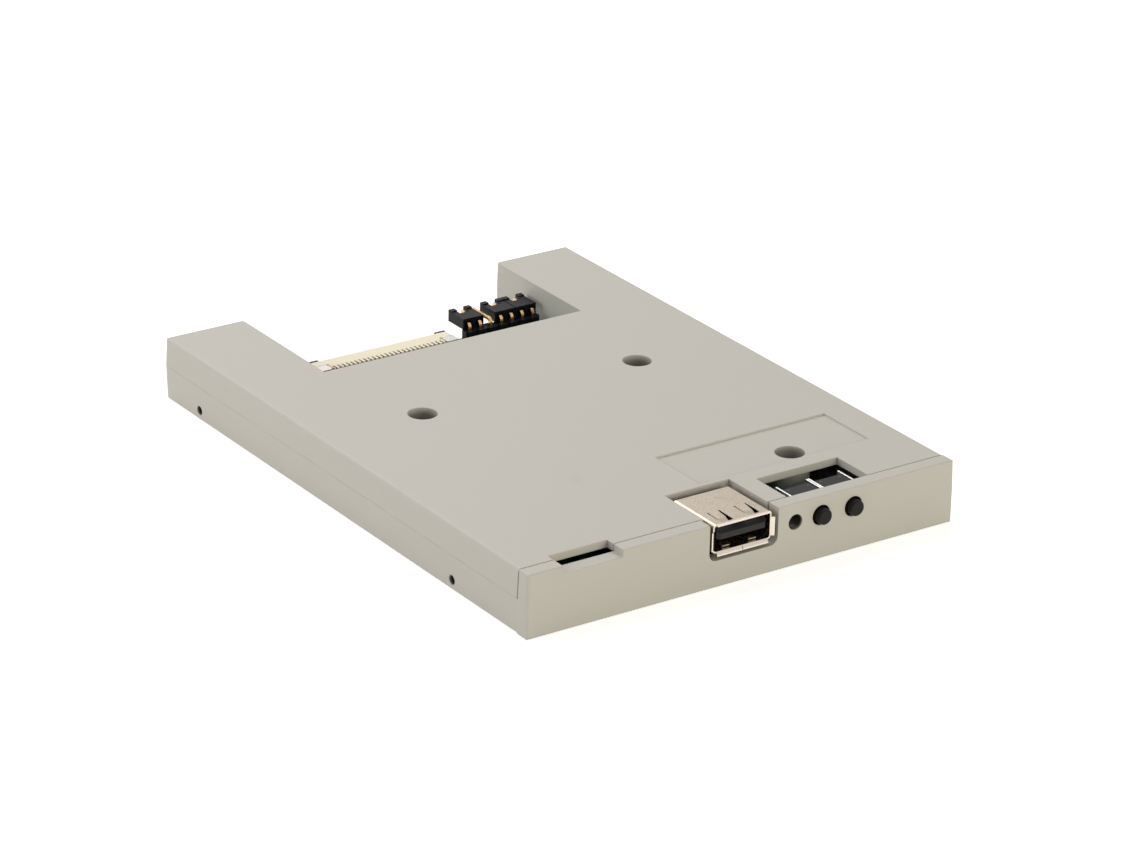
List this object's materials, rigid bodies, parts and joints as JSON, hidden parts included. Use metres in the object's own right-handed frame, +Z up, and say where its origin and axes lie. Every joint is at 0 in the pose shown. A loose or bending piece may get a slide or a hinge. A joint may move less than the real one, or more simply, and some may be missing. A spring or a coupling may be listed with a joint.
{
  "type": "floppy drive emulator",
  "caption": "Slim drive-bay unit that stands in for a floppy drive: moulded case with a rear notch, USB socket, two push buttons, status lamp, ribbon connector and jumper header.",
  "frame": {"origin": "bottom centre of the whole box, button tips included", "axes": "+X to the right seen from the front, +Y from the bezel to the rear, +Z up"},
  "size_m": [0.096, 0.1304, 0.0127],
  "materials": {
    "case_plastic": "fine moulded texture, warm light grey",
    "screw_steel": "zinc plated",
    "board_green": "solder resist over glass laminate",
    "shell_steel": "bright nickel plated sheet",
    "lead_steel": "tinned",
    "black_plastic": "moulded",
    "button_black": "smooth moulded",
    "cap_black": "moulded",
    "contact_gold": "gold plated",
    "lamp_clear": "water clear",
    "cream_plastic": "moulded",
    "can_aluminium": "drawn can",
    "resistor_black": "glazed"
  },
  "bodies": {
    "case": {"bottom_case": "case_plastic", "top_cover": "case_plastic", "case_screws": "screw_steel", "main_board": "board_green", "usb_shell": "shell_steel", "usb_insulator": "black_plastic", "usb_contacts": "contact_gold", "left_switch_base": "black_plastic", "right_switch_base": "black_plastic", "left_switch_bracket": "shell_steel", "right_switch_bracket": "shell_steel", "left_switch_dome": "shell_steel", "right_switch_dome": "shell_steel", "switch_terminals": "shell_steel", "status_led": "lamp_clear", "led_leads": "lead_steel", "ribbon_housing": "cream_plastic", "ribbon_contacts": "contact_gold", "ribbon_solder_tabs": "shell_steel", "header_base": "black_plastic", "header_pins": "contact_gold", "controller_chip": "black_plastic", "controller_leads": "lead_steel", "buffer_chips": "black_plastic", "buffer_leads": "lead_steel", "crystal_can": "shell_steel", "voltage_regulator": "black_plastic", "smoothing_capacitors": "can_aluminium", "chip_resistors": "resistor_black"},
    "left_button": {"left_button": "button_black"},
    "right_button": {"right_button": "button_black"},
    "ribbon_lock": {"ribbon_lock": "black_plastic"},
    "left_cap": {"left_jumper_cap": "cap_black", "left_jumper_clip": "contact_gold"},
    "middle_cap": {"middle_jumper_cap": "cap_black", "middle_jumper_clip": "contact_gold"},
    "right_cap": {"right_jumper_cap": "cap_black", "right_jumper_clip": "contact_gold"}
  },
  "joints": [
    {"name": "left_button_press", "type": "slide", "parent": "case", "child": "left_button", "axis": [0, 1, 0], "range_m": [0, 0.00025], "stiffness_N_per_m": 6000, "springref_m": -0.00002},
    {"name": "right_button_press", "type": "slide", "parent": "case", "child": "right_button", "axis": [0, 1, 0], "range_m": [0, 0.00025], "stiffness_N_per_m": 6000, "springref_m": -0.00002},
    {"name": "ribbon_lock_slide", "type": "slide", "parent": "case", "child": "ribbon_lock", "axis": [0, 1, 0], "range_m": [0, 0.0012]},
    {"name": "left_cap_pull", "type": "slide", "parent": "case", "child": "left_cap", "axis": [0, 1, 0], "range_m": [0, 0.0065]},
    {"name": "middle_cap_pull", "type": "slide", "parent": "case", "child": "middle_cap", "axis": [0, 1, 0], "range_m": [0, 0.0065]},
    {"name": "right_cap_pull", "type": "slide", "parent": "case", "child": "right_cap", "axis": [0, 1, 0], "range_m": [0, 0.0065]}
  ]
}
